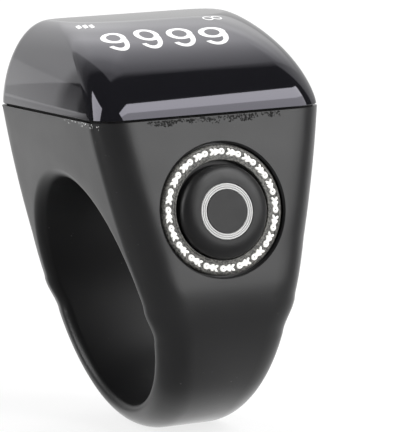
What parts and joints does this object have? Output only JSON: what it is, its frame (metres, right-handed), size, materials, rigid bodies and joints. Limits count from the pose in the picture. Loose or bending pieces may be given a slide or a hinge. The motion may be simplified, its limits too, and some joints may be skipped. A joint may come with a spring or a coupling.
{
  "type": "digital finger counter",
  "caption": "Finger-ring tally counter: round bore, hollow head under a smoked pillow cover with lit digits, and one round push button with a braided trim ring.",
  "frame": {"origin": "centre of the finger bore", "axes": "+X along the finger, -Y towards the push button's face, +Z towards the display cover"},
  "size_m": [0.0192, 0.0246, 0.0322],
  "materials": {
    "body_plastic": "fine moulded texture",
    "cover_plastic": "smoked, polished",
    "button_plastic": "satin",
    "inlay_plastic": "satin",
    "black_adhesive": "matt",
    "board_laminate": "solder mask",
    "chip_epoxy": "moulded",
    "tinned_steel": "tinned",
    "spring_steel": "bright",
    "polyimide": "flexible board",
    "foil_pouch": "foil laminate",
    "foam_tape": "foam",
    "red_insulation": "extruded",
    "black_insulation": "extruded",
    "white_plastic": "moulded",
    "light_resin": "light diffusing",
    "dark_plastic": "moulded"
  },
  "bodies": {
    "counter": {"ring_body": "body_plastic", "display_cover": "cover_plastic", "cover_adhesive": "black_adhesive", "button_trim_ring": "body_plastic", "snap_dome": "spring_steel", "switch_stiffener": "tinned_steel", "switch_flex": "polyimide", "main_board": "board_laminate", "controller_chip": "chip_epoxy", "charger_chip": "chip_epoxy", "clock_crystal": "tinned_steel", "flex_connector": "white_plastic", "charge_socket": "tinned_steel", "socket_tongue": "chip_epoxy", "battery_pad": "foam_tape", "battery_cell": "foil_pouch", "battery_lead_red": "red_insulation", "battery_lead_black": "black_insulation", "display_carrier": "dark_plastic", "display_board": "board_laminate", "display_reflector": "white_plastic", "diffuser_film": "light_resin", "digit_block_1": "light_resin", "digit_block_2": "light_resin", "digit_block_3": "light_resin", "digit_block_4": "light_resin", "battery_mark_block": "light_resin", "loop_mark_block": "light_resin", "display_jumper": "polyimide"},
    "button": {"push_button": "button_plastic", "button_ring_inlay": "inlay_plastic"}
  },
  "joints": [
    {"name": "button_press", "type": "slide", "parent": "counter", "child": "button", "axis": [0, 0.9916, -0.1296], "range_m": [0, 0.0003], "stiffness_N_per_m": 4000, "deforming": ["snap_dome"]}
  ]
}
